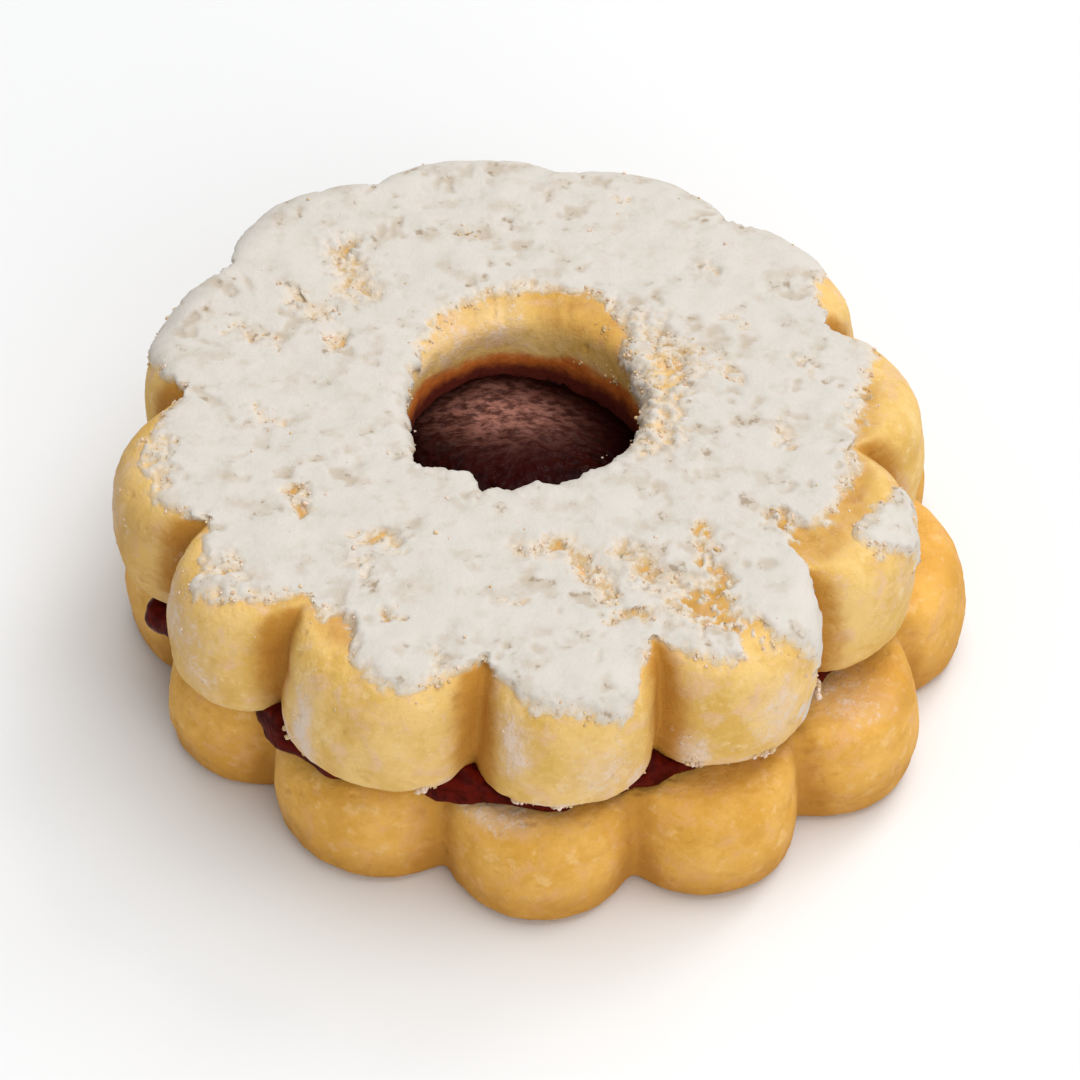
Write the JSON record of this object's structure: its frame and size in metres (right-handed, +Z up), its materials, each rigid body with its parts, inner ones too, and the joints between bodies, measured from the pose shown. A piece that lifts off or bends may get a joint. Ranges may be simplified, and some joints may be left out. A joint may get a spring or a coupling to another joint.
{
  "type": "linzer cookie",
  "caption": "Round scalloped sandwich biscuit: two thick shortbread layers with red jam between, a round window full of jam, icing sugar on top.",
  "frame": {"origin": "middle of the cookie's outline, at the flat underside of the bottom biscuit", "axes": "+Z up through the cookie's thickness; -Y faces the viewer; the top biscuit has slipped slightly towards -X"},
  "size_m": [0.0659, 0.0644, 0.0223],
  "materials": {
    "baked_shortbread": "matt golden baked crumb, browner towards the foot",
    "jam": "dark red jam with a glossy, slightly lumpy skin",
    "shortbread": "matt pale golden baked crumb",
    "icing_sugar": "matt white powder, soft and lumpy"
  },
  "bodies": {
    "root": {"bottom_biscuit": "baked_shortbread", "jam_filling": "jam", "top_biscuit": "shortbread"}
  },
  "joints": []
}
